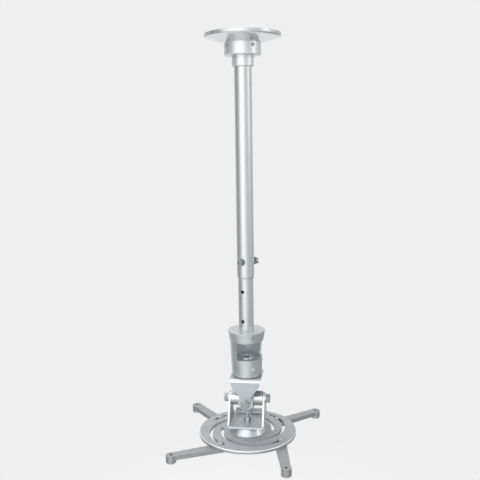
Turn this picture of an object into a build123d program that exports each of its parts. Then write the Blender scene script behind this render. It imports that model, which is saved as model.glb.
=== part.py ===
from build123d import *
import math
import os

# A telescopic ceiling mount for a projector. Millimetres, +Z up. The origin is the centre of the
# face that lies against the ceiling, so the whole mount hangs below Z = 0. X is the tilt axis of
# the lower bracket and Y its roll axis, with the open front of that bracket towards -Y.

# Clearances
push_fit = 0.05           # between pieces that are pushed or screwed together
running_fit = 0.06        # between a shaft and the hole that turns on it
side_gap = 0.3            # between moving faces beside each other
tube_gap = 0.3            # between the two tubes, above the rolled end

# Flat ceiling plate and the canopy pressed from sheet round it
canopy_sheet = 2.0
canopy_r = 61.0
canopy_rim_h = 6.5        # rim, measured to the corner with the sloping underside
canopy_corner_r = 3.5
canopy_depth = 15.0       # ceiling to the collar's seat
canopy_lift = 0.5         # rim stays this far below the ceiling
canopy_ledge = 0.8        # canopy's hole is this much smaller than the tube's bore
ceiling_pcd = 90.0
ceiling_hole_r = 2.75
ceiling_holes = 4
canopy_screw_r = 1.2
canopy_screw_head_r = 1.7
canopy_screw_head_h = 1.3
canopy_screw_bite = 6.0   # length of thread in the plate's edge
canopy_screw_angles = (-142.5, -22.5, 97.5)

# Inner tube
inner_tube_r = 12.5
inner_tube_wall = 1.5
inner_tube_len = 345.0
drop = 87.6               # outer tube's end to the top of the cable cup
hole_pitch = 50.0
holes_above = 3           # rows of holes above the locking screws
holes_below = 2
lock_hole_r = 3.2

# Outer tube, reducer sleeve and collar
outer_tube_wall = 1.2
outer_tube_len = 378.9
rolled_end_h = 3.0
rolled_end_wall = 0.7
sleeve_wall = 3.5
sleeve_len = 36.7
collar_wall = 12.0
collar_h = 19.5
collar_edge = 0.8
collar_screw_drop = 5.5   # collar's top face to its set screws
collar_screw_angles = (-50.0, -140.0)

# Set screws
set_screw_r = 3.0
set_screw_sunk = 3.5      # below the surface of the collar and of the cup's cap
set_socket_af = 3.0
set_socket_depth = 1.5

# Locking screws near the lower end of the outer tube
lock_rise = 28.3          # tube end to the screws' axis
lock_screw_r = 3.0
lock_nut_af = 10.0
lock_nut_h = 4.0
lock_head_r = 4.9
lock_head_h = 3.2
lock_head_edge = 0.5
lock_socket_af = 5.0
lock_socket_depth = 2.0
lock_angles = (-110.5, 9.5)

# Cable cup, sizes from the swivel's skirt up to the cap
cap_h = 16.8
cap_flare = 2.8           # cap grows this much from its lower edge to its top
cap_edge = 0.8
cup_step = 0.7            # the body is this much smaller than the cap above it
cup_flare = 2.7           # body grows this much from its foot to the cap
cup_wall = 3.2
skirt_wall = 4.7
window_h = 29.3
window_span = 155.0
window_mid = -49.5
window_corner_r = 5.5
sill_h = 3.0              # window's lower edge above the floor
cup_floor = 6.0
skirt_h = 20.8
cap_screw_drop = 6.5      # cap's top face to its set screw
skirt_screw_drop = 6.5    # floor's lower face to the swivel set screw
cup_screw_angle = -60.0

# Swivel
hub_r = 20.0
hub_reveal = 1.0          # hub shows between cup and bracket
swivel_r = 5.0
swivel_af = 16.0
swivel_nut_h = 8.0
swivel_head_r = 11.0
swivel_head_h = 4.0
swivel_disc_r = 17.0      # washer on the cup's floor
swivel_washer_r = 10.5    # washer under the bracket
swivel_washer_t = 2.0
swivel_bolt_proud = 2.0   # below its nut

# Upper bracket: sheet folded to an inverted U with a tongue in front and one behind
bracket_sheet = 3.0
bracket_bend_r = 2.5
bracket_w = 52.0
bracket_d = 57.0
tongue_w = 45.0           # width where the tongue's sides turn in
tongue_drop = 13.0        # depth of that place below the top face
tongue_neck = 10.0        # height above the pivot where the narrow eye begins
tongue_eye_r = 7.0
pivot_drop = 41.1         # top face to the pivot axes

# Pivot bolts and the cross block between the brackets
pivot_r = 4.0
pivot_af = 13.0
pivot_head_h = 6.3
pivot_washer_r = 8.0
pivot_washer_t = 2.0
pivot_bite = 13.0         # length of thread in the block
block_core = 25.0
block_boss_r = 12.0
block_edge = 2.0

# Lower bracket: sheet folded to a U that is open upwards, with a short lip behind
yoke_sheet = 3.0
yoke_bend_r = 3.0
yoke_w = 60.0
yoke_d = 60.0
yoke_ear_r = 10.0
yoke_foot_h = 6.0         # height of the legs' square foot
yoke_lip_h = 12.0
yoke_lip_relief = 0.6
pivot_to_base = 42.2      # pivot axes to the underside of the lower bracket

# Round base plate with spiral slots
base_r = 81.5
base_t = 5.0
base_edge = 2.0
dome_h = 12.8
dome_foot_r = 32.0
dome_top_r = 25.0
dome_edge = 4.0
dome_wall = 5.0
base_bolt_r = 3.0
base_bolt_af = 10.0
base_head_h = 4.0
base_nut_h = 5.0
base_washer_r = 6.25
base_washer_t = 1.6
base_bolt_proud = 5.5
slot_rim = 10.8           # metal left outside the slots
slot_offset = 13.5        # from the plate's centre to the centre of a slot's arc
slot_sweep = 154.0
slot_count = 4
slot_turn = 158.0         # direction of the first arc's centre
slot_lead = 162.0         # from that direction back to the slot's inner end
slot_play = 0.1           # on each side of the screw that slides in a slot

# Arms: place along the slot and direction at rest, one pair for each slot
arm_places = ((142.0, 131.0), (148.0, 206.5), (150.5, 280.0), (133.0, 39.0))
arm_len = 82.5
arm_t = 7.0
arm_root_r = 9.5
arm_bar_r = 7.0           # half the bar's width at the boss
arm_end_r = 8.2
arm_boss_h = 13.0
arm_edge = 1.2
arm_hole_r = 2.6
arm_screw_r = 2.5
arm_head_r = 4.75
arm_head_h = 2.8
arm_nut_af = 8.0
arm_nut_h = 4.0
arm_nut_room = 0.6        # around the nut in its pocket

# Shapes of bought screws and nuts, as shares of their own heads
head_face = 0.94          # flat face of a hexagon, of its width across flats
head_bevel = 30.0         # slope of its turned corners, in degrees
dome_rim = 0.35           # straight rim of a domed head, of its height
dome_face = 0.55          # flat face of a domed head, of its radius
dome_socket = 0.6         # its hexagon socket across flats, of its radius
dome_socket_deep = 0.55   # depth of that socket, of the head's height

# Heights, from the ceiling down
seat_z = -canopy_depth
tube_end_z = seat_z - outer_tube_len
lock_z = tube_end_z + lock_rise
cup_z = tube_end_z - drop
cap_bottom_z = cup_z - cap_h
sill_z = cap_bottom_z - window_h
floor_z = sill_z - sill_h
skirt_z = floor_z - cup_floor
cup_bottom_z = skirt_z - skirt_h
bracket_z = cup_bottom_z - hub_reveal
pivot_z = bracket_z - pivot_drop
yoke_z = pivot_z - pivot_to_base
base_z = yoke_z - dome_h
arm_z = base_z - base_t

# Sizes that follow from the ones above
tube_bore_r = inner_tube_r + tube_gap
outer_tube_r = tube_bore_r + outer_tube_wall
sleeve_r = outer_tube_r + sleeve_wall
collar_r = sleeve_r + collar_wall
cable_hole_r = tube_bore_r - canopy_ledge
canopy_slope = math.atan2(canopy_depth - canopy_rim_h, canopy_r - collar_r)
canopy_turn = math.tan((math.pi / 2 - canopy_slope) / 2)
plate_r = canopy_r - canopy_sheet - push_fit
plate_t = canopy_rim_h - canopy_corner_r * canopy_turn - side_gap
canopy_screw_z = -(plate_t + canopy_lift) / 2
cup_bottom_r = hub_r + running_fit + skirt_wall
cup_body_r = cup_bottom_r + cup_flare
cap_bottom_r = cup_body_r + cup_step
cap_top_r = cap_bottom_r + cap_flare
cup_taper = cup_flare / (cap_bottom_z - cup_bottom_z)
cavity_top_r = cup_body_r - cup_wall
cavity_r = cavity_top_r - cup_taper * (cap_bottom_z - floor_z)
slot_w = 2 * (arm_screw_r + slot_play)
slot_arc_r = base_r - slot_rim - slot_w / 2 - slot_offset
leg_inside = yoke_w / 2 - yoke_sheet
tongue_inside = bracket_d / 2 - bracket_sheet
STAND = (Align.CENTER, Align.CENTER, Align.MIN)


def radial(angle, r, z):
    """Place whose own +Z points away from the mount's axis."""
    return Rot(0, 0, angle) * Pos(r, 0, z) * Rot(0, 90, 0)


def cylinder(r, z_low, z_high):
    return Pos(0, 0, z_low) * Cylinder(r, z_high - z_low, align=STAND)


def ring(r_out, r_in, z_low, z_high):
    return cylinder(r_out, z_low, z_high) - cylinder(r_in, z_low, z_high)


def turned(points):
    """Solid turned about Z from an outline in radius and height."""
    return revolve(Plane.XZ * make_face(Polyline(*points, close=True)), Axis.Z)


def rim(solid, z):
    """Round outer edge of a turned piece at height z."""
    level = [e for e in solid.edges().filter_by(GeomType.CIRCLE) if abs(e.center().Z - z) < 1e-4]
    return max(level, key=lambda e: e.radius)


def hexagon(af, h):
    """Blank of a hexagon head or nut, with its top corners turned off."""
    corner_r = af / math.sqrt(3)
    flat_r = head_face * af / 2
    bevel_h = (corner_r - flat_r) * math.tan(math.radians(head_bevel))
    blank = extrude(RegularPolygon(af / 2, 6, major_radius=False), h)
    return blank & turned([(0, 0), (corner_r, 0), (corner_r, h - bevel_h), (flat_r, h), (0, h)])


def hex_bolt(r, length, af, head_h):
    """Bolt with its head above Z = 0 and its shank below."""
    return hexagon(af, head_h) + cylinder(r, -length, 0)


def hex_nut(r, af, h):
    return hexagon(af, h) - cylinder(r + push_fit, 0, h)


def washer(r_out, r_in, t):
    return ring(r_out, r_in + push_fit, 0, t)


def hex_socket(af, depth, top):
    return Pos(0, 0, top - depth) * extrude(RegularPolygon(af / 2, 6, major_radius=False), depth)


def button_head(r, h):
    """Low domed head with a hexagon socket."""
    dome = turned([(0, 0), (r, 0), (r, dome_rim * h), (dome_face * r, h), (0, h)])
    return dome - hex_socket(dome_socket * r, dome_socket_deep * h, h)


def grub_screw(length):
    """Headless set screw with its tip at Z = 0 and a hexagon socket at the other end."""
    return cylinder(set_screw_r, 0, length) - hex_socket(set_socket_af, set_socket_depth, length)


def set_screw_hole(angle, z):
    return radial(angle, 0, z) * cylinder(set_screw_r + push_fit, 0, 2 * cap_top_r)


def ceiling_plate():
    plate = ring(plate_r, cable_hole_r, -plate_t, 0)
    plate -= PolarLocations(ceiling_pcd / 2, ceiling_holes, 45) * Cylinder(ceiling_hole_r, 4 * plate_t)
    for angle in canopy_screw_angles:
        plate -= canopy_screw_hole(angle)
    return plate


def canopy_screw_hole(angle):
    """Hole through the canopy's rim and on into the plate's edge."""
    end_r = plate_r - canopy_screw_bite
    return radial(angle, end_r, canopy_screw_z) * cylinder(canopy_screw_r + push_fit, 0, canopy_r - end_r)


def canopy():
    r, t = canopy_r, canopy_sheet
    lift = t * canopy_turn
    back = t * math.tan(canopy_slope / 2)
    outer = [(r, -canopy_lift), (r, -canopy_rim_h), (collar_r, seat_z), (cable_hole_r, seat_z)]
    inner = [
        (cable_hole_r, seat_z + t), (collar_r - back, seat_z + t),
        (r - t, lift - canopy_rim_h), (r - t, -canopy_lift),
    ]
    face = make_face(Polyline(*outer, *inner, close=True))
    for corner, bend in ((outer[1], canopy_corner_r), (inner[2], canopy_corner_r - t)):
        vertex = min(face.vertices(), key=lambda v: math.dist((v.X, v.Y), corner))
        face = fillet(vertex, bend)
    shell = revolve(Plane.XZ * face, Axis.Z)
    for angle in canopy_screw_angles:
        shell -= canopy_screw_hole(angle)
    return shell


def canopy_screws():
    length = canopy_r - plate_r + canopy_screw_bite - push_fit
    screw = button_head(canopy_screw_head_r, canopy_screw_head_h) + cylinder(canopy_screw_r, -length, 0)
    return [radial(angle, canopy_r, canopy_screw_z) * screw for angle in canopy_screw_angles]


def socket_collar():
    collar = ring(collar_r, sleeve_r + push_fit, seat_z - collar_h, seat_z)
    collar = chamfer(rim(collar, seat_z - collar_h), collar_edge)
    for angle in collar_screw_angles:
        collar -= set_screw_hole(angle, seat_z - collar_screw_drop)
    return collar


def collar_set_screws():
    screw = grub_screw(collar_wall - push_fit - set_screw_sunk)
    return [radial(a, sleeve_r + push_fit, seat_z - collar_screw_drop) * screw for a in collar_screw_angles]


def reducer_sleeve():
    sleeve = ring(sleeve_r, outer_tube_r + push_fit, seat_z - sleeve_len, seat_z)
    return chamfer(rim(sleeve, seat_z - sleeve_len), collar_edge)


def outer_tube():
    """Tube with its lower end rolled in to guide the inner tube."""
    r, guide_r, end = outer_tube_r, inner_tube_r + running_fit, tube_end_z
    tube = turned([
        (tube_bore_r, seat_z), (r, seat_z), (r, end + rolled_end_h), (guide_r + rolled_end_wall, end),
        (guide_r, end), (guide_r, end + rolled_end_h), (tube_bore_r, end + 2 * rolled_end_h),
    ])
    for angle in lock_angles:
        tube -= radial(angle, 0, lock_z) * cylinder(lock_screw_r + push_fit, 0, 2 * r)
    return tube


def lock_nuts():
    """Nuts welded to the outer tube, each hollowed to sit on it."""
    seat_r = math.sqrt(outer_tube_r**2 - (lock_nut_af / math.sqrt(3))**2)
    nut = hex_nut(lock_screw_r, lock_nut_af, outer_tube_r - seat_r + lock_nut_h)
    bed = cylinder(outer_tube_r, lock_z - lock_nut_af, lock_z + lock_nut_af)
    return [radial(angle, seat_r, lock_z) * nut - bed for angle in lock_angles]


def lock_screws():
    """Socket head screws whose tips stop just short of the inner tube."""
    seat_r = outer_tube_r + lock_nut_h
    length = seat_r - inner_tube_r - side_gap
    head = cylinder(lock_head_r, 0, lock_head_h)
    head = chamfer(rim(head, lock_head_h), lock_head_edge)
    head -= hex_socket(lock_socket_af, lock_socket_depth, lock_head_h)
    screw = head + cylinder(lock_screw_r, -length, 0)
    return [radial(angle, seat_r, lock_z) * screw for angle in lock_angles]


def inner_tube():
    tube = ring(inner_tube_r, inner_tube_r - inner_tube_wall, cap_bottom_z, cap_bottom_z + inner_tube_len)
    for row in range(-holes_below, holes_above + 1):
        for angle in lock_angles:
            tube -= radial(angle, 0, lock_z + row * hole_pitch) * cylinder(lock_hole_r, 0, 2 * inner_tube_r)
    return tube


def window_cut():
    """Window in the cup's wall: straight sides and rounded lower corners, wrapped round the axis."""
    corner_angle = math.degrees(window_corner_r / cup_body_r)

    def sector(span, z_low):
        depth, height = 3 * cup_wall, cap_bottom_z - z_low
        middle = Pos(cavity_r - cup_wall + depth / 2, (cap_bottom_z + z_low) / 2)
        block = revolve(Plane.XZ * middle * Rectangle(depth, height), Axis.Z, span)
        return Rot(0, 0, window_mid - span / 2) * block

    cut = sector(window_span - 2 * corner_angle, sill_z) + sector(window_span, sill_z + window_corner_r)
    for side in (-1, 1):
        angle = window_mid + side * (window_span / 2 - corner_angle)
        corner = radial(angle, cavity_r - cup_wall, sill_z + window_corner_r)
        cut += corner * cylinder(window_corner_r, 0, 3 * cup_wall)
    return cut


def cup_cap():
    """Thick cap of the cup, pushed on the inner tube."""
    cap = turned([(0, cup_z), (cap_top_r, cup_z), (cap_bottom_r, cap_bottom_z), (0, cap_bottom_z)])
    cap = chamfer(rim(cap, cup_z), cap_edge)
    cap -= cylinder(inner_tube_r + push_fit, cap_bottom_z, cup_z)
    return cap - set_screw_hole(cup_screw_angle, cup_z - cap_screw_drop)


def cable_cup():
    """Body of the cup: a hollow with a side window, and below its floor a skirt for the swivel."""
    top, foot = cap_bottom_z, cup_bottom_z
    body = turned([(0, top), (cup_body_r, top), (cup_bottom_r, foot), (0, foot)])
    body = chamfer(rim(body, foot), cap_edge)
    body -= turned([(0, top), (cavity_top_r, top), (cavity_r, floor_z), (0, floor_z)])
    body -= cylinder(swivel_r + running_fit, skirt_z, floor_z)
    body -= cylinder(hub_r + running_fit, foot, skirt_z)
    body -= window_cut()
    return body - set_screw_hole(cup_screw_angle, skirt_z - skirt_screw_drop)


def cap_set_screw():
    length = cap_bottom_r - inner_tube_r - push_fit - set_screw_sunk
    return [radial(cup_screw_angle, inner_tube_r + push_fit, cup_z - cap_screw_drop) * grub_screw(length)]


def swivel_set_screw():
    length = cup_bottom_r - hub_r - running_fit
    return [radial(cup_screw_angle, hub_r + running_fit, skirt_z - skirt_screw_drop) * grub_screw(length)]


def swivel_hub():
    return ring(hub_r, swivel_r + push_fit, bracket_z, skirt_z - running_fit)


def swivel_bolt():
    under_head = floor_z + swivel_washer_t
    end = bracket_z - bracket_sheet - swivel_washer_t - swivel_nut_h - swivel_bolt_proud
    head = button_head(swivel_head_r, swivel_head_h)
    return [Pos(0, 0, under_head) * (head + cylinder(swivel_r, end - under_head, 0))]


def swivel_washers():
    places = {floor_z: swivel_disc_r, bracket_z - bracket_sheet - swivel_washer_t: swivel_washer_r}
    return [Pos(0, 0, z) * washer(r, swivel_r, swivel_washer_t) for z, r in places.items()]


def swivel_nut():
    top = bracket_z - bracket_sheet - swivel_washer_t
    return [Pos(0, 0, top) * Rot(180, 0, 0) * hex_nut(swivel_r, swivel_af, swivel_nut_h)]


def folded_channel(width, length, height, sheet, bend_r):
    """Channel of folded sheet, open downwards, with its back on Z = 0 and its length along Y."""
    outside = Rectangle(width, height, align=(Align.CENTER, Align.MAX))
    inside = Pos(0, -sheet) * Rectangle(width - 2 * sheet, height, align=(Align.CENTER, Align.MAX))
    outside = fillet(outside.vertices().group_by(Axis.Y)[-1], bend_r + sheet)
    inside = fillet(inside.vertices().group_by(Axis.Y)[-1], bend_r)
    return extrude(Plane.XZ * (outside - inside), length / 2, both=True)


def upper_bracket():
    channel = folded_channel(bracket_d, bracket_w, pivot_drop + tongue_eye_r, bracket_sheet, bracket_bend_r)
    channel = Pos(0, 0, bracket_z) * Rot(0, 0, 90) * channel
    shoulder_z, neck_z = bracket_z - tongue_drop, pivot_z + tongue_neck
    side = [
        (bracket_w / 2, bracket_z),
        (tongue_w / 2, shoulder_z),
        (tongue_eye_r, neck_z),
        (tongue_eye_r, pivot_z),
    ]
    outline = make_face(Polyline(*side, *[(-x, z) for x, z in reversed(side)], close=True))
    outline += Pos(0, pivot_z) * Circle(tongue_eye_r)
    bracket = channel & extrude(Plane.XZ * outline, bracket_d, both=True)
    bracket -= cylinder(swivel_r + push_fit, bracket_z - bracket_sheet, bracket_z)
    return bracket - Pos(0, 0, pivot_z) * Rot(90, 0, 0) * Cylinder(pivot_r + running_fit, 2 * bracket_d)


def cross_block():
    """Cast spider with a boss towards each tongue and each leg, and a threaded hole in each boss."""
    block = Pos(0, 0, pivot_z) * Box(block_core, block_core, 2 * block_boss_r)
    block = fillet(block.edges().filter_by(Axis.Z), block_edge)
    reach = {0: leg_inside, 90: tongue_inside, 180: leg_inside, 270: tongue_inside}
    for angle, inside in reach.items():
        block += radial(angle, 0, pivot_z) * cylinder(block_boss_r, 0, inside - side_gap)
    for angle, inside in reach.items():
        block -= radial(angle, inside - pivot_bite, pivot_z) * cylinder(pivot_r + push_fit, 0, pivot_bite)
    return block


def pivot_bolts(angles, outside, sheet):
    length = pivot_washer_t + sheet + pivot_bite - push_fit
    bolt = hex_bolt(pivot_r, length, pivot_af, pivot_head_h)
    return [radial(angle, outside + pivot_washer_t, pivot_z) * bolt for angle in angles]


def pivot_washers(angles, outside):
    piece = washer(pivot_washer_r, pivot_r, pivot_washer_t)
    return [radial(angle, outside, pivot_z) * piece for angle in angles]


def tilt_yoke():
    height = pivot_to_base + yoke_ear_r
    channel = folded_channel(yoke_w, yoke_d, height, yoke_sheet, yoke_bend_r)
    channel = Pos(0, 0, yoke_z) * Rot(180, 0, 0) * channel
    foot = Pos(0, yoke_z + yoke_foot_h / 2) * Rectangle(yoke_d, yoke_foot_h)
    ear = Pos(0, pivot_z) * Circle(yoke_ear_r)
    outline = make_hull(foot.edges() + ear.edges())
    yoke = channel & extrude(Plane.YZ * outline, yoke_w, both=True)
    yoke = yoke - lip_room() + rear_lip()
    yoke -= cylinder(base_bolt_r + running_fit, yoke_z, yoke_z + yoke_sheet)
    return yoke - Pos(0, 0, pivot_z) * Rot(0, 90, 0) * Cylinder(pivot_r + running_fit, 2 * yoke_w)


def lip_width():
    return 2 * (leg_inside - yoke_bend_r - yoke_lip_relief)


def lip_room():
    bend = yoke_sheet + yoke_bend_r
    return Pos(0, yoke_d / 2 - bend / 2, yoke_z) * Box(lip_width(), bend, 2 * yoke_lip_h)


def rear_lip():
    """Short lip folded up behind, with the same bend as the legs."""
    bend = yoke_sheet + yoke_bend_r
    corner = Rectangle(bend, yoke_lip_h, align=(Align.MAX, Align.MIN))
    hollow = Pos(-yoke_sheet, yoke_sheet) * Rectangle(bend, yoke_lip_h, align=(Align.MAX, Align.MIN))
    corner = fillet(corner.vertices().sort_by(Axis.X)[-2:].sort_by(Axis.Y)[0], bend)
    hollow = fillet(hollow.vertices().sort_by(Axis.X)[-2:].sort_by(Axis.Y)[0], yoke_bend_r)
    return extrude(Plane.YZ * Pos(yoke_d / 2, yoke_z) * (corner - hollow), lip_width() / 2, both=True)


def slot_centre(k):
    """Centre of the arc that slot k follows."""
    angle = math.radians(slot_turn + 360 / slot_count * k)
    return Vector(slot_offset * math.cos(angle), slot_offset * math.sin(angle), 0)


def slot_angle(k, place):
    """Direction from the arc's centre to a place along slot k, in degrees of arc from its inner end."""
    return slot_turn + 360 / slot_count * k - slot_lead + place


def screw_place(k):
    """Centre of the screw that holds arm k."""
    angle = math.radians(slot_angle(k, arm_places[k][0]))
    return slot_centre(k) + Vector(slot_arc_r * math.cos(angle), slot_arc_r * math.sin(angle), 0)


def base_plate():
    """Cast disc with a raised dome in the middle, hollow underneath, and spiral slots round it."""
    top, low = base_z, arm_z
    plate = turned([
        (0, low), (base_r, low), (base_r, top), (dome_foot_r, top), (dome_top_r, yoke_z), (0, yoke_z),
    ])
    plate = fillet(rim(plate, top), base_edge)
    plate = fillet(rim(plate, yoke_z), dome_edge)
    plate -= turned([
        (0, low), (dome_foot_r - dome_wall, low),
        (dome_top_r - dome_wall, yoke_z - dome_wall), (0, yoke_z - dome_wall),
    ])
    plate -= cylinder(base_bolt_r + push_fit, low, yoke_z)
    for k in range(slot_count):
        path = CenterArc((0, 0), slot_arc_r, slot_angle(k, 0), slot_sweep)
        slot = extrude(SlotArc(path, slot_w), base_t)
        plate -= Pos(slot_centre(k).X, slot_centre(k).Y, low) * slot
    return plate


def base_bolt():
    under_head = yoke_z - dome_wall - base_washer_t
    top = yoke_z + yoke_sheet + base_washer_t + base_nut_h + base_bolt_proud
    bolt = hex_bolt(base_bolt_r, top - under_head, base_bolt_af, base_head_h)
    return [Pos(0, 0, under_head) * Rot(180, 0, 0) * bolt]


def base_washers():
    piece = washer(base_washer_r, base_bolt_r, base_washer_t)
    return [Pos(0, 0, z) * piece for z in (yoke_z - dome_wall - base_washer_t, yoke_z + yoke_sheet)]


def base_nut():
    return [Pos(0, 0, yoke_z + yoke_sheet + base_washer_t) * hex_nut(base_bolt_r, base_bolt_af, base_nut_h)]


def arm(k):
    """Tapered cast arm with a boss for the projector's screw at its end, drawn along X from its pivot."""
    bar = make_hull(Circle(arm_root_r).edges() + (Pos(arm_len, 0) * Circle(arm_bar_r)).edges())
    solid = Pos(0, 0, -arm_t) * extrude(bar, arm_t, dir=(0, 0, 1))
    solid += Pos(arm_len, 0, 0) * cylinder(arm_end_r, -arm_boss_h, 0)
    for face in (solid.faces().sort_by(Axis.Z)[-1], solid.faces().sort_by(Axis.Z)[0]):
        solid = chamfer(face.outer_wire().edges(), arm_edge)
    solid -= Pos(arm_len, 0, 0) * cylinder(arm_hole_r, -arm_boss_h, 0)
    solid -= cylinder(arm_screw_r + running_fit, -arm_t, 0)
    pocket_r = arm_nut_af / math.sqrt(3) + arm_nut_room
    solid -= cylinder(pocket_r, -arm_t, arm_nut_h - arm_t)
    return Pos(screw_place(k).X, screw_place(k).Y, arm_z) * Rot(0, 0, arm_places[k][1]) * solid


def arm_screw(k):
    length = base_t + arm_t
    screw = button_head(arm_head_r, arm_head_h) + cylinder(arm_screw_r, -length, 0)
    return Pos(screw_place(k).X, screw_place(k).Y, base_z) * screw


def arm_nut(k):
    nut = hex_nut(arm_screw_r, arm_nut_af, arm_nut_h)
    return Pos(screw_place(k).X, screw_place(k).Y, arm_z - arm_t + arm_nut_h) * Rot(180, 0, 0) * nut


nodes = {
    "ceiling_plate": [ceiling_plate()],
    "canopy": [canopy()],
    "canopy_screws": canopy_screws(),
    "socket_collar": [socket_collar()],
    "collar_set_screws": collar_set_screws(),
    "reducer_sleeve": [reducer_sleeve()],
    "outer_tube": [outer_tube()],
    "lock_nuts": lock_nuts(),
    "lock_screws": lock_screws(),
    "inner_tube": [inner_tube()],
    "cup_cap": [cup_cap()],
    "cable_cup": [cable_cup()],
    "cap_set_screw": cap_set_screw(),
    "swivel_set_screw": swivel_set_screw(),
    "swivel_hub": [swivel_hub()],
    "swivel_bolt": swivel_bolt(),
    "swivel_washers": swivel_washers(),
    "swivel_nut": swivel_nut(),
    "upper_bracket": [upper_bracket()],
    "cross_block": [cross_block()],
    "roll_bolts": pivot_bolts((-90, 90), bracket_d / 2, bracket_sheet),
    "roll_washers": pivot_washers((-90, 90), bracket_d / 2),
    "tilt_bolts": pivot_bolts((0, 180), yoke_w / 2, yoke_sheet),
    "tilt_washers": pivot_washers((0, 180), yoke_w / 2),
    "tilt_yoke": [tilt_yoke()],
    "base_plate": [base_plate()],
    "base_bolt": base_bolt(),
    "base_washers": base_washers(),
    "base_nut": base_nut(),
}
for k in range(slot_count):
    nodes[f"arm_{k + 1}"] = [arm(k)]
    nodes[f"arm_screw_{k + 1}"] = [arm_screw(k)]
    nodes[f"arm_nut_{k + 1}"] = [arm_nut(k)]

os.makedirs("parts", exist_ok=True)
for name, pieces in nodes.items():
    solids = [solid for piece in pieces for solid in piece.solids()]
    export_step(solids[0] if len(solids) == 1 else Compound(children=solids), f"parts/{name}.step")
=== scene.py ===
import math

import bmesh
import bpy
from mathutils import Matrix, Vector


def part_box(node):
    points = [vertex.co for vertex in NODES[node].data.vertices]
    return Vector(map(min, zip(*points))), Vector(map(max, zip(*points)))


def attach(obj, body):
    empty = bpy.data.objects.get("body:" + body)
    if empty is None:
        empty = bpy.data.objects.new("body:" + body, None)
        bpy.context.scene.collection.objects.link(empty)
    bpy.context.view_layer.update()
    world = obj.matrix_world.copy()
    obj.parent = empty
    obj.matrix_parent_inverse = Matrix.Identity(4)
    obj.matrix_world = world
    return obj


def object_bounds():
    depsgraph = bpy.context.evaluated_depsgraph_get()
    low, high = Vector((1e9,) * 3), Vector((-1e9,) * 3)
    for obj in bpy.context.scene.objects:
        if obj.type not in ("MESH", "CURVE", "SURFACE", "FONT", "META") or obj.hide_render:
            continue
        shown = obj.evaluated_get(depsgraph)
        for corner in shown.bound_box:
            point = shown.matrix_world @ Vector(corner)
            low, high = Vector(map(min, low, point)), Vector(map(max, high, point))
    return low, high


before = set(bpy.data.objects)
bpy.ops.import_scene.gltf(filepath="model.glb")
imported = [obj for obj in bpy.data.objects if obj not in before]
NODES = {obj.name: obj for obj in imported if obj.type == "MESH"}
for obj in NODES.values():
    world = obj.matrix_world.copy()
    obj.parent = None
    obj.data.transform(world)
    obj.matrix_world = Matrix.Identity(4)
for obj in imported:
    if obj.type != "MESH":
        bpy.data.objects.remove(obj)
CAD_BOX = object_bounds()
ARMS = [f"arm_{k}" for k in range(1, 5)]

# Camera, worked out from the photograph: 480 x 480 pixels, focal length in pixels, metres and degrees
IMAGE = 480.0
SENSOR_MM = 36.0
FOCAL_PX = 672.0
CAMERA_FAR = 1.088
CAMERA_Z = -0.155
CAMERA_SIDE = -0.00774
CAMERA_TURN = 7.5
CAMERA_PITCH = 6.5
CAMERA_ROLL = -0.818
CAMERA_CLIP = 0.01
AXIS_PX = 208.4

# Stage: the mount hangs over a floor, with room for the tube's travel and the plate's tilt
HANG = 0.21
FLOOR_Z = CAD_BOX[0][2] - HANG
FLOOR_R = 0.55
FLOOR_SIDES = 96
# Radii between which the floor fades into the backdrop, and between which its shadow grows weaker,
# with the shares of the shadow that are kept there
FLOOR_FADE = (0.15, 0.5)
SHADE_FADE = (0.06, 0.24)
SHADE_KEPT = (0.85, 0.35)
# Greys of the floor's own glow, of the floor and the backdrop, and of the soft light from all round
FLOOR_GLOW = 1.0
PALE = 0.863
FILL_GREY = 0.55
# Walls of the studio in reflections: where the backdrop passes into them, as the sine of the angle to
# the side, and their greys; the right wall grows lighter over a range of heights, as sines too
LEFT_WALL = (-0.5, -0.9)
LEFT_GREY = 0.15
RIGHT_WALL = (0.15, 0.65)
RIGHT_GREY = (0.24, 0.64)
RIGHT_RISE = (-0.36, -0.10)

# Finishes: the part of a noise's range that is used, the detail of the noises for tone, gloss and
# relief, how much finer the gloss varies than the tone, and the strength of the relief
NOISE_RANGE = (0.3, 0.7)
TONE_DETAIL = 4.0
GLOSS_DETAIL = 3.0
GRAIN_DETAIL = 3.0
GLOSS_FINER = 2.3
RELIEF = 0.35

# Faces with a finish of their own, among them painted highlights and painted shade: limits for parts of
# their normals, and for their places in metres
FACING = 0.5
INWARD = 0.3
BEND = 0.15
CANOPY_FLAT = 0.8
DOME_UP = 0.05
PLATE_ROUND = (0.15, 0.9)
ARM_EDGE = (0.2, 0.9)
YOKE_FRONT_Y = -0.004
BRACKET_SIDE_X = 0.006
CANOPY_RIM = 0.006
PLATE_RIM = 0.0025
DOME_R = 0.0325

# Weld beads round the nuts of the locking screws: directions of the nuts in degrees, and sizes in
# metres, with the lumps as a share of the bead
LOCK_ANGLES = (-110.5, 9.5)
WELD_R = 0.0059
WELD_BEAD = 0.0010
WELD_LUMP = 0.14
WELD_LUMPS = 11
WELD_STEPS = 66
WELD_SIDES = 10
# Threads on the free ends of two bolts: pitches in metres, and the ridge as shares of the pitch
BASE_PITCH = 0.001
SWIVEL_PITCH = 0.0015
THREAD_STEPS = 32
THREAD_HALF = 0.46
THREAD_DEPTH = 0.30
THREAD_SUNK = 0.08
SAME_LEVEL = 0.00001


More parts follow.
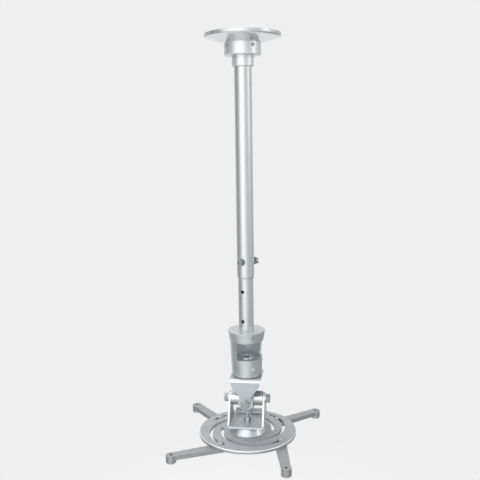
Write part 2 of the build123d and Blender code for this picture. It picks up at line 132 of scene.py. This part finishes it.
def camera_axes():
    """Right, up and back of the camera, and its place."""
    turn, pitch, roll = (math.radians(a) for a in (CAMERA_TURN, CAMERA_PITCH, CAMERA_ROLL))
    level_right = Vector((math.cos(turn), math.sin(turn), 0))
    level_ahead = Vector((-math.sin(turn), math.cos(turn), 0))
    ahead = level_ahead * math.cos(pitch) - Vector((0, 0, math.sin(pitch)))
    up = level_ahead * math.sin(pitch) + Vector((0, 0, math.cos(pitch)))
    right = level_right * math.cos(roll) + up * math.sin(roll)
    up = up * math.cos(roll) - level_right * math.sin(roll)
    place = Vector((0, 0, CAMERA_Z)) - level_ahead * CAMERA_FAR + level_right * CAMERA_SIDE
    return right, up, -ahead, place


def add_camera():
    data = bpy.data.cameras.new("camera")
    data.sensor_width = SENSOR_MM
    data.lens = FOCAL_PX / IMAGE * SENSOR_MM
    data.shift_y = (AXIS_PX - IMAGE / 2) / IMAGE
    data.clip_start = CAMERA_CLIP
    camera = bpy.data.objects.new("camera", data)
    right, up, back, place = camera_axes()
    camera.matrix_world = Matrix((
        (right.x, up.x, back.x, place.x),
        (right.y, up.y, back.y, place.y),
        (right.z, up.z, back.z, place.z),
        (0, 0, 0, 1),
    ))
    bpy.context.scene.collection.objects.link(camera)
    bpy.context.scene.camera = camera


def node(tree, kind, **inputs):
    """New shader node with the named inputs set."""
    made = tree.nodes.new(kind)
    for name, value in inputs.items():
        made.inputs[name.replace("_", " ")].default_value = value
    return made


def noise(tree, scale, detail, stretch=(1, 1, 1)):
    """Noise in the object's own metres, stretched along the axes."""
    coords = node(tree, "ShaderNodeTexCoord")
    mapping = node(tree, "ShaderNodeMapping", Scale=stretch)
    made = node(tree, "ShaderNodeTexNoise", Scale=scale, Detail=detail)
    tree.links.new(coords.outputs["Object"], mapping.inputs["Vector"])
    tree.links.new(mapping.outputs["Vector"], made.inputs["Vector"])
    return made.outputs["Fac"]


def spread(tree, value, low, high):
    """Spread a noise value between low and high."""
    least, most = NOISE_RANGE
    made = node(tree, "ShaderNodeMapRange", From_Min=least, From_Max=most, To_Min=low, To_Max=high)
    tree.links.new(value, made.inputs["Value"])
    return made.outputs["Result"]


def two_tone(tree, value, dark, light):
    """Spread a noise value between two colours."""
    ramp = node(tree, "ShaderNodeValToRGB")
    for stop, position, colour in zip(ramp.color_ramp.elements, NOISE_RANGE, (dark, light)):
        stop.position = position
        stop.color = (*colour, 1)
    tree.links.new(value, ramp.inputs["Fac"])
    return ramp.outputs["Color"]


def metal(name, dark, light, rough, metallic, mottle, grain, depth, stretch=(1, 1, 1)):
    """Metal or metallic paint: mottled colour and gloss, and a fine relief of the given grain and depth."""
    material = bpy.data.materials.new(name)
    material.use_nodes = True
    tree = material.node_tree
    shader = tree.nodes["Principled BSDF"]
    shader.inputs["Metallic"].default_value = metallic
    tone = two_tone(tree, noise(tree, mottle, TONE_DETAIL, stretch), dark, light)
    gloss = spread(tree, noise(tree, mottle * GLOSS_FINER, GLOSS_DETAIL, stretch), *rough)
    bump = node(tree, "ShaderNodeBump", Strength=RELIEF, Distance=depth)
    tree.links.new(noise(tree, grain, GRAIN_DETAIL), bump.inputs["Height"])
    tree.links.new(tone, shader.inputs["Base Color"])
    tree.links.new(gloss, shader.inputs["Roughness"])
    tree.links.new(bump.outputs["Normal"], shader.inputs["Normal"])
    return material


PAINT = metal(
    "silver_paint", (0.655, 0.69, 0.695), (0.685, 0.72, 0.725),
    rough=(0.36, 0.41), metallic=0.7, mottle=60, grain=2600, depth=0.00002, stretch=(1, 1, 0.1),
)
BRIGHT = metal(
    "bright_paint", (0.78, 0.80, 0.81), (0.82, 0.84, 0.85),
    rough=(0.15, 0.19), metallic=0.8, mottle=50, grain=2600, depth=0.00002,
)
# The collar's paint, also used as a painted highlight on the bracket's bend.
COLLAR_AND_BEND_HIGHLIGHT = metal(
    "collar_paint_and_bend_highlight", (0.74, 0.76, 0.77), (0.77, 0.79, 0.80),
    rough=(0.35, 0.40), metallic=0.55, mottle=60, grain=2200, depth=0.00002,
)
CAST = metal(
    "cast_silver", (0.60, 0.645, 0.655), (0.655, 0.70, 0.71),
    rough=(0.34, 0.41), metallic=0.65, mottle=70, grain=900, depth=0.00008,
)
INSIDE = metal(
    "cup_inside", (0.60, 0.64, 0.66), (0.67, 0.71, 0.73),
    rough=(0.42, 0.52), metallic=0.3, mottle=90, grain=700, depth=0.00012,
)
PLATE = metal(
    "plate_silver", (0.455, 0.475, 0.495), (0.505, 0.525, 0.545),
    rough=(0.50, 0.58), metallic=0.4, mottle=80, grain=700, depth=0.00012,
)
# The arms' finish, also used as painted shade on the plate's outer side.
ARM_AND_RIM_SHADE = metal(
    "arm_silver_and_rim_shade", (0.395, 0.405, 0.415), (0.445, 0.455, 0.465),
    rough=(0.38, 0.47), metallic=0.6, mottle=80, grain=700, depth=0.00012,
)
YOKE = metal(
    "yoke_silver", (0.54, 0.58, 0.605), (0.59, 0.63, 0.655),
    rough=(0.32, 0.40), metallic=0.6, mottle=70, grain=1600, depth=0.00006,
)
BRACKET = metal(
    "bracket_paint", (0.505, 0.55, 0.585), (0.535, 0.58, 0.615),
    rough=(0.36, 0.42), metallic=0.6, mottle=60, grain=1600, depth=0.00004,
)
# Painted highlight: a lighter finish for edges and small parts that catch the light, so that they read
# bright.
EDGE_HIGHLIGHT = metal(
    "painted_edge_highlight", (0.82, 0.84, 0.85), (0.90, 0.91, 0.92),
    rough=(0.35, 0.50), metallic=0.5, mottle=300, grain=1800, depth=0.00006,
)
ZINC = metal(
    "zinc", (0.54, 0.56, 0.58), (0.64, 0.66, 0.68),
    rough=(0.24, 0.36), metallic=0.9, mottle=220, grain=1800, depth=0.00004,
)
STEEL = metal(
    "dull_steel", (0.33, 0.35, 0.365), (0.42, 0.44, 0.455),
    rough=(0.30, 0.42), metallic=0.85, mottle=220, grain=1800, depth=0.00004,
)
# Painted shade: near-black steel on the locking nuts stands in for the shadowed gap beside them.
NUT_SHADE = metal(
    "painted_shade_steel", (0.13, 0.135, 0.14), (0.18, 0.185, 0.19),
    rough=(0.30, 0.40), metallic=0.85, mottle=220, grain=1800, depth=0.00004,
)
# Painted highlight: lighter and glossier than the plate, for the plate's dome and the upper edges of the
# arms.
DOME_HIGHLIGHT = metal(
    "painted_dome_highlight", (0.60, 0.625, 0.645), (0.65, 0.675, 0.695),
    rough=(0.30, 0.36), metallic=0.7, mottle=80, grain=900, depth=0.00008,
)

# Finish of each node; the nodes that aren't named here are zinc plated
FINISHES = {
    "canopy": BRIGHT,
    "ceiling_plate": PAINT,
    "socket_collar": COLLAR_AND_BEND_HIGHLIGHT,
    "reducer_sleeve": COLLAR_AND_BEND_HIGHLIGHT,
    "outer_tube": PAINT,
    "inner_tube": PAINT,
    # The locking nuts are darkened as painted shade.
    "lock_nuts": NUT_SHADE,
    "lock_screws": STEEL,
    "cup_cap": CAST,
    "cable_cup": CAST,
    "swivel_hub": CAST,
    "swivel_washers": CAST,
    "swivel_bolt": BRIGHT,
    # The set screw gets the painted highlight finish, a painted bright glint.
    "swivel_set_screw": EDGE_HIGHLIGHT,
    "upper_bracket": BRACKET,
    "roll_bolts": STEEL,
    "tilt_bolts": STEEL,
    "tilt_yoke": YOKE,
    "base_plate": PLATE,
    **{name: ARM_AND_RIM_SHADE for name in ARMS},
}
for name, piece in NODES.items():
    piece.data.materials.clear()
    piece.data.materials.append(FINISHES.get(name, ZINC))


def refinish(name, material, chosen):
    """Give another finish to the faces of a node that chosen(centre, normal) picks."""
    piece = NODES[name]
    piece.data.materials.append(material)
    for face in piece.data.polygons:
        if chosen(piece.matrix_world @ face.center, piece.matrix_world.to_3x3() @ face.normal):
            face.material_index = len(piece.data.materials) - 1


def rim_radius(name, width):
    """Inner radius of the rim, of the given width, of a round node."""
    return max(v.co.xy.length for v in NODES[name].data.vertices) - width


CANOPY_RIM_R = rim_radius("canopy", CANOPY_RIM)
PLATE_RIM_R = rim_radius("base_plate", PLATE_RIM)


def in_cup(centre, normal):
    return normal.xy.dot(centre.xy) < -INWARD * centre.xy.length


def on_yoke_highlight_edge(centre, normal):
    return normal.y < -FACING and centre.y < YOKE_FRONT_Y


def on_bracket_highlight_edge(centre, normal):
    return abs(normal.x) > FACING and abs(centre.x) > BRACKET_SIDE_X


def on_bracket_highlight_bend(centre, normal):
    return abs(normal.y) > BEND and normal.z > BEND


def on_canopy_rim(centre, normal):
    return abs(normal.z) < CANOPY_FLAT and centre.xy.length > CANOPY_RIM_R


def on_dome_highlight(centre, normal):
    return normal.z > DOME_UP and centre.xy.length < DOME_R


def on_plate_highlight_edge(centre, normal):
    return PLATE_ROUND[0] < normal.z < PLATE_ROUND[1] and centre.xy.length > PLATE_RIM_R


def on_plate_shaded_side(centre, normal):
    return normal.z < PLATE_ROUND[0] and centre.xy.length > PLATE_RIM_R


def on_arm_highlight_edge(centre, normal):
    return ARM_EDGE[0] < normal.z < ARM_EDGE[1]


refinish("cable_cup", INSIDE, in_cup)
# Painted highlight on the front cut edges of the yoke and the side edges of the bracket.
refinish("tilt_yoke", EDGE_HIGHLIGHT, on_yoke_highlight_edge)
refinish("upper_bracket", EDGE_HIGHLIGHT, on_bracket_highlight_edge)
# Painted highlight on the bend of the upper bracket, with the collar's lighter paint.
refinish("upper_bracket", COLLAR_AND_BEND_HIGHLIGHT, on_bracket_highlight_bend)
refinish("canopy", PAINT, on_canopy_rim)
# Painted highlight on the plate's dome, with a lighter and glossier finish.
refinish("base_plate", DOME_HIGHLIGHT, on_dome_highlight)
# Painted highlight on the rounded top edge of the plate's rim.
refinish("base_plate", EDGE_HIGHLIGHT, on_plate_highlight_edge)
# Painted shade on the plate's outer side, with the arms' darker finish.
refinish("base_plate", ARM_AND_RIM_SHADE, on_plate_shaded_side)
# Painted highlight on the sloping upper edges of the arms.
for name in ARMS:
    refinish(name, DOME_HIGHLIGHT, on_arm_highlight_edge)


def sweep(sections, closed):
    """Points and faces of a skin over sections of equal size; closed joins the last to the first."""
    size = len(sections[0])
    points = [point for section in sections for point in section]
    faces = []
    for k in range(len(sections) if closed else len(sections) - 1):
        here = k * size
        there = (k + 1) % len(sections) * size
        for i in range(size):
            j = (i + 1) % size
            faces.append((here + i, here + j, there + j, there + i))
    if not closed:
        faces += [range(size), range(len(points) - size, len(points))]
    return points, faces


def add_piece(name, skin, material, body):
    """Smooth mesh of the scene's own that moves with a body."""
    points, faces = skin
    shape = bmesh.new()
    corners = [shape.verts.new(point) for point in points]
    for face in faces:
        shape.faces.new([corners[i] for i in face]).smooth = True
    bmesh.ops.recalc_face_normals(shape, faces=shape.faces)
    mesh = bpy.data.meshes.new(name)
    shape.to_mesh(mesh)
    shape.free()
    mesh.materials.append(material)
    piece = bpy.data.objects.new(name, mesh)
    bpy.context.scene.collection.objects.link(piece)
    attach(piece, body)


def add_weld(name, angle):
    """Lumpy bead on the curve where a locking nut meets the outer tube."""
    angle = math.radians(angle)
    out = Vector((math.cos(angle), math.sin(angle), 0))
    side = Vector((-math.sin(angle), math.cos(angle), 0))
    up = Vector((0, 0, 1))
    tube_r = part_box("outer_tube")[1].x
    low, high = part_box("lock_nuts")
    round_bead = [2 * math.pi * i / WELD_SIDES for i in range(WELD_SIDES)]
    sections = []
    for k in range(WELD_STEPS):
        turn = 2 * math.pi * k / WELD_STEPS
        away = side * math.cos(turn) + up * math.sin(turn)
        middle = away * WELD_R + up * (low.z + high.z) / 2
        middle += out * math.sqrt(tube_r**2 - (WELD_R * math.cos(turn))**2)
        bead = WELD_BEAD * (1 + WELD_LUMP * math.sin(WELD_LUMPS * turn))
        sections.append([middle + (out * math.sin(t) + away * math.cos(t)) * bead for t in round_bead])
    add_piece(name, sweep(sections, True), PAINT, "ceiling")


def add_thread(name, bolt, start, end, pitch, body):
    """Ridge of the thread on a bolt's free end, from the nut's face to the bolt's end."""
    r = max(v.co.xy.length for v in NODES[bolt].data.vertices if abs(v.co.z - end) < SAME_LEVEL)
    count = int((abs(end - start) / pitch - 2 * THREAD_HALF) * THREAD_STEPS)
    sections = []
    for k in range(count + 1):
        angle = 2 * math.pi * k / THREAD_STEPS
        out = Vector((math.cos(angle), math.sin(angle), 0))
        z = start + math.copysign(pitch * (THREAD_HALF + k / THREAD_STEPS), end - start)
        # The ridge rises over its first half turn and runs out over its last
        rise = min(1, 2 * k / THREAD_STEPS, 2 * (count - k) / THREAD_STEPS)
        outline = ((-THREAD_SUNK, -THREAD_HALF), (THREAD_DEPTH * rise, 0), (-THREAD_SUNK, THREAD_HALF))
        sections.append([
            out * (r + pitch * far) + Vector((0, 0, z + pitch * lift))
            for far, lift in outline
        ])
    add_piece(name, sweep(sections, False), ZINC, body)


for k, angle in enumerate(LOCK_ANGLES, 1):
    add_weld(f"weld_{k}", angle)
add_thread(
    "base_thread", "base_bolt",
    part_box("base_nut")[1].z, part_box("base_bolt")[1].z, BASE_PITCH, "plate",
)
add_thread(
    "swivel_thread", "swivel_bolt",
    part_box("swivel_nut")[0].z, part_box("swivel_bolt")[0].z, SWIVEL_PITCH, "head",
)


def grey(value):
    return (value, value, value, 1)


def link_math(tree, operation, first, second):
    """Math node on two sockets."""
    made = node(tree, "ShaderNodeMath")
    made.operation = operation
    tree.links.new(first, made.inputs[0])
    tree.links.new(second, made.inputs[1])
    return made.outputs[0]


def fade(tree, value, limits, *levels):
    """Smooth change from one level to another while value goes from one limit to the other."""
    made = node(tree, "ShaderNodeMapRange", From_Min=limits[0], From_Max=limits[1])
    made.interpolation_type = "SMOOTHSTEP"
    tree.links.new(value, made.inputs["Value"])
    for level, name in zip(levels, ("To Min", "To Max")):
        if isinstance(level, (int, float)):
            made.inputs[name].default_value = level
        else:
            tree.links.new(level, made.inputs[name])
    return made.outputs["Result"]


def mixed(tree, share, first, second):
    """Mix of two shaders, with the given share of the second."""
    made = node(tree, "ShaderNodeMixShader")
    tree.links.new(share, made.inputs["Fac"])
    tree.links.new(first.outputs[0], made.inputs[1])
    tree.links.new(second.outputs[0], made.inputs[2])
    return made


def floor_material():
    """Pale finish that shows the mount's shadow and fades into the backdrop."""
    material = bpy.data.materials.new("floor")
    material.use_nodes = True
    tree = material.node_tree
    tree.nodes.clear()
    out = node(tree, "ShaderNodeOutputMaterial")
    coords = node(tree, "ShaderNodeTexCoord")
    far = node(tree, "ShaderNodeVectorMath")
    far.operation = "LENGTH"
    tree.links.new(coords.outputs["Object"], far.inputs[0])
    path = node(tree, "ShaderNodeLightPath")
    diffuse = node(tree, "ShaderNodeBsdfDiffuse", Color=grey(PALE))
    glow = node(tree, "ShaderNodeEmission", Color=grey(FLOOR_GLOW), Strength=1.0)
    clear = node(tree, "ShaderNodeBsdfTransparent")
    glow_share = fade(tree, far.outputs["Value"], SHADE_FADE, 1 - SHADE_KEPT[0], 1 - SHADE_KEPT[1])
    glow_share = link_math(tree, "MULTIPLY", glow_share, path.outputs["Is Camera Ray"])
    lit = mixed(tree, glow_share, diffuse, glow)
    faded = mixed(tree, fade(tree, far.outputs["Value"], FLOOR_FADE, 0, 1), lit, clear)
    tree.links.new(faded.outputs[0], out.inputs["Surface"])
    return material


def add_floor():
    """Round floor below the mount."""
    mesh = bpy.data.meshes.new("floor")
    turns = [2 * math.pi * k / FLOOR_SIDES for k in range(FLOOR_SIDES)]
    points = [(FLOOR_R * math.cos(a), FLOOR_R * math.sin(a), 0) for a in turns]
    mesh.from_pydata(points, [], [list(range(FLOOR_SIDES))])
    mesh.materials.append(floor_material())
    floor = bpy.data.objects.new("floor", mesh)
    floor.location.z = FLOOR_Z
    bpy.context.scene.collection.objects.link(floor)


def add_world():
    """Pale backdrop for the camera and for reflections, with dimmer walls at both sides."""
    world = bpy.data.worlds.new("studio")
    world.use_nodes = True
    bpy.context.scene.world = world
    tree = world.node_tree
    tree.nodes.clear()
    out = node(tree, "ShaderNodeOutputWorld")
    backdrop = node(tree, "ShaderNodeBackground", Color=grey(PALE), Strength=1.0)
    fill = node(tree, "ShaderNodeBackground", Color=grey(FILL_GREY), Strength=1.0)
    walls = node(tree, "ShaderNodeBackground", Strength=1.0)
    coords = node(tree, "ShaderNodeTexCoord")
    across = node(tree, "ShaderNodeVectorMath")
    across.operation = "DOT_PRODUCT"
    turn = math.radians(CAMERA_TURN)
    across.inputs[1].default_value = (math.cos(turn), math.sin(turn), 0)
    tree.links.new(coords.outputs["Generated"], across.inputs[0])
    height = node(tree, "ShaderNodeSeparateXYZ")
    tree.links.new(coords.outputs["Generated"], height.inputs[0])
    right = fade(tree, height.outputs["Z"], RIGHT_RISE, *RIGHT_GREY)
    level = fade(tree, across.outputs["Value"], RIGHT_WALL, PALE, right)
    level = fade(tree, across.outputs["Value"], LEFT_WALL, level, LEFT_GREY)
    tree.links.new(level, walls.inputs["Color"])
    path = node(tree, "ShaderNodeLightPath")
    mirrored = link_math(tree, "MAXIMUM", path.outputs["Is Glossy Ray"], path.outputs["Is Transmission Ray"])
    seen = mixed(tree, path.outputs["Is Camera Ray"], mixed(tree, mirrored, fill, walls), backdrop)
    tree.links.new(seen.outputs[0], out.inputs["Surface"])


def add_lamp(name, azimuth, far, height, width, tall, watts, aim):
    """Soft panel aimed at a height of the pole; azimuth in degrees from the front, to the right."""
    data = bpy.data.lights.new(name, "AREA")
    data.shape = "RECTANGLE"
    data.size = width
    data.size_y = tall
    data.energy = watts
    lamp = bpy.data.objects.new(name, data)
    angle = math.radians(azimuth)
    place = Vector((far * math.sin(angle), -far * math.cos(angle), height))
    turned = (place - Vector((0, 0, aim))).to_track_quat("Z", "Y")
    lamp.matrix_world = Matrix.Translation(place) @ turned.to_matrix().to_4x4()
    lamp.visible_camera = False
    bpy.context.scene.collection.objects.link(lamp)


add_camera()
add_floor()
add_world()
add_lamp("key", azimuth=-20, far=1.9, height=0.3, width=2.8, tall=2.9, watts=26, aim=-0.3)
add_lamp("top", azimuth=-125, far=1.3, height=1.5, width=1.2, tall=1.2, watts=14, aim=-0.6)
add_lamp("right", azimuth=80, far=1.6, height=0.15, width=0.5, tall=0.8, watts=2.8, aim=-0.3)

bpy.context.scene.view_settings.view_transform = "Standard"
